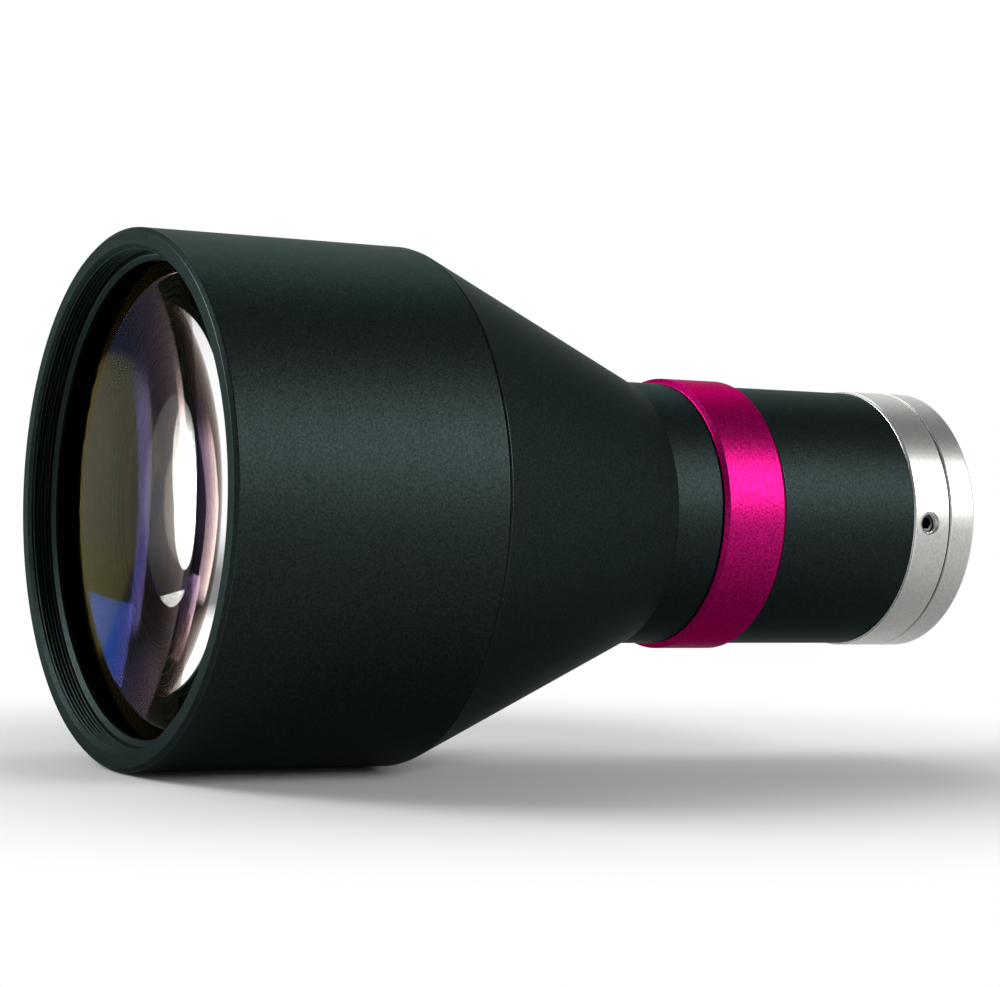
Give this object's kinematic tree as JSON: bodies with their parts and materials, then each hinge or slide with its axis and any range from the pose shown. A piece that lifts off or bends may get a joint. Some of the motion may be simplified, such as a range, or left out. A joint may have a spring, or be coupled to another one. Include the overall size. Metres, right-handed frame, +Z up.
{
  "type": "bi-telecentric lens",
  "caption": "Bi-telecentric lens: a wide black barrel with coated front glass, a cone, a rear tube with a coloured ring, and a silver screw mount for a camera.",
  "frame": {"origin": "centre of the mount's flange face, on the optical axis", "axes": "+Y along the optical axis towards the camera, so the front glass faces -Y; +Z up; +X through the first set screw"},
  "size_m": [0.068, 0.1259, 0.068],
  "materials": {
    "black_anodised": "bead blasted and black anodised",
    "magenta_anodised": "fine turned and magenta anodised",
    "turned_steel": "fine turned stainless steel",
    "screw_steel": "plain steel",
    "shim_brass": "rolled brass",
    "crown_glass": "polished and coated",
    "flint_glass": "polished and coated"
  },
  "bodies": {
    "root": {"front_barrel": "black_anodised", "front_retaining_ring": "black_anodised", "cone_housing": "black_anodised", "body_tube": "black_anodised", "rear_lens_cell": "black_anodised", "cell_spacer": "black_anodised", "rear_retaining_ring": "black_anodised", "front_spacer_ring": "black_anodised", "front_baffle": "black_anodised", "rear_baffle": "black_anodised", "stop_seat_ring": "black_anodised", "aperture_stop": "black_anodised", "rear_spacer_ring": "black_anodised", "front_flint_element": "flint_glass", "front_crown_element": "crown_glass", "front_meniscus_element": "crown_glass", "rear_concave_element": "flint_glass", "rear_flint_element": "flint_glass", "rear_crown_element": "crown_glass", "rear_convex_element": "crown_glass", "accent_ring": "magenta_anodised", "mount_sleeve": "turned_steel", "c_mount_ring": "turned_steel", "mount_set_screws": "screw_steel", "back_focus_shim": "shim_brass"}
  },
  "joints": []
}
